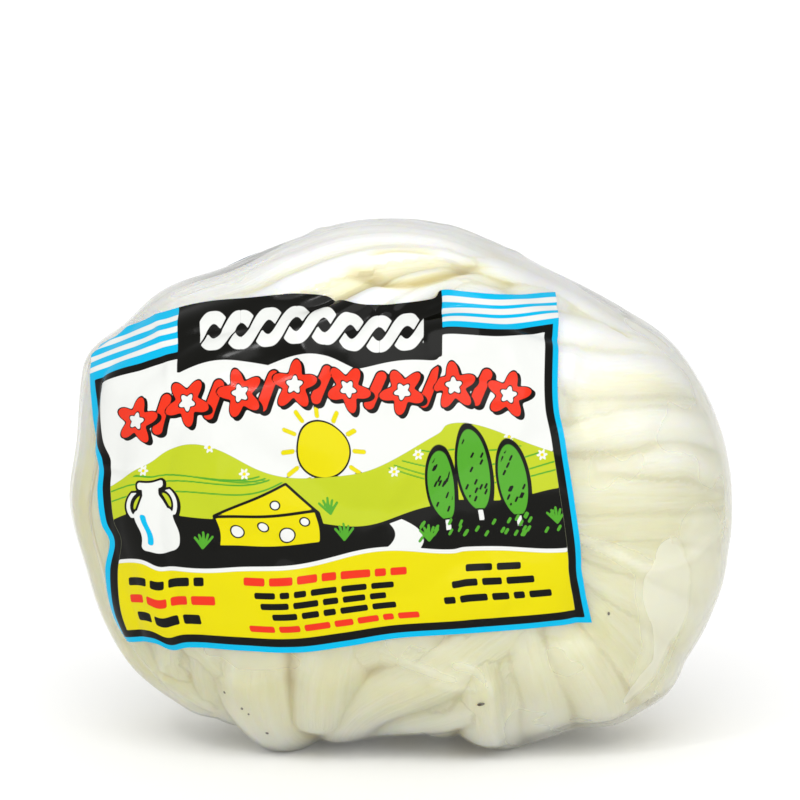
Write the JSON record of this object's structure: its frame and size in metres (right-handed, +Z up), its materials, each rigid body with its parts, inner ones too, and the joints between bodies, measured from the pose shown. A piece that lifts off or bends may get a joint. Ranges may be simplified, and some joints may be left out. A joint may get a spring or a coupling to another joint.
{
  "type": "braided string cheese",
  "caption": "Ball of braided white string cheese shrunk tight in a clear bag with a printed panel on each face; stands on flattened lobes.",
  "frame": {"origin": "middle of the base, on the surface that the cheese stands on", "axes": "+Z up, +X to the right of the printed face, +Y away from the viewer of the printed face"},
  "size_m": [0.134, 0.078, 0.106],
  "materials": {
    "cheese": "creamy white string cheese, soft satin",
    "film": "clear glossy shrink film, lightly wrinkled",
    "print": "glossy ink on the film: sky blue, black, lime green, yellow, white and red",
    "seed": "small black seeds"
  },
  "bodies": {
    "root": {"bagged_cheese": "cheese"}
  },
  "joints": []
}
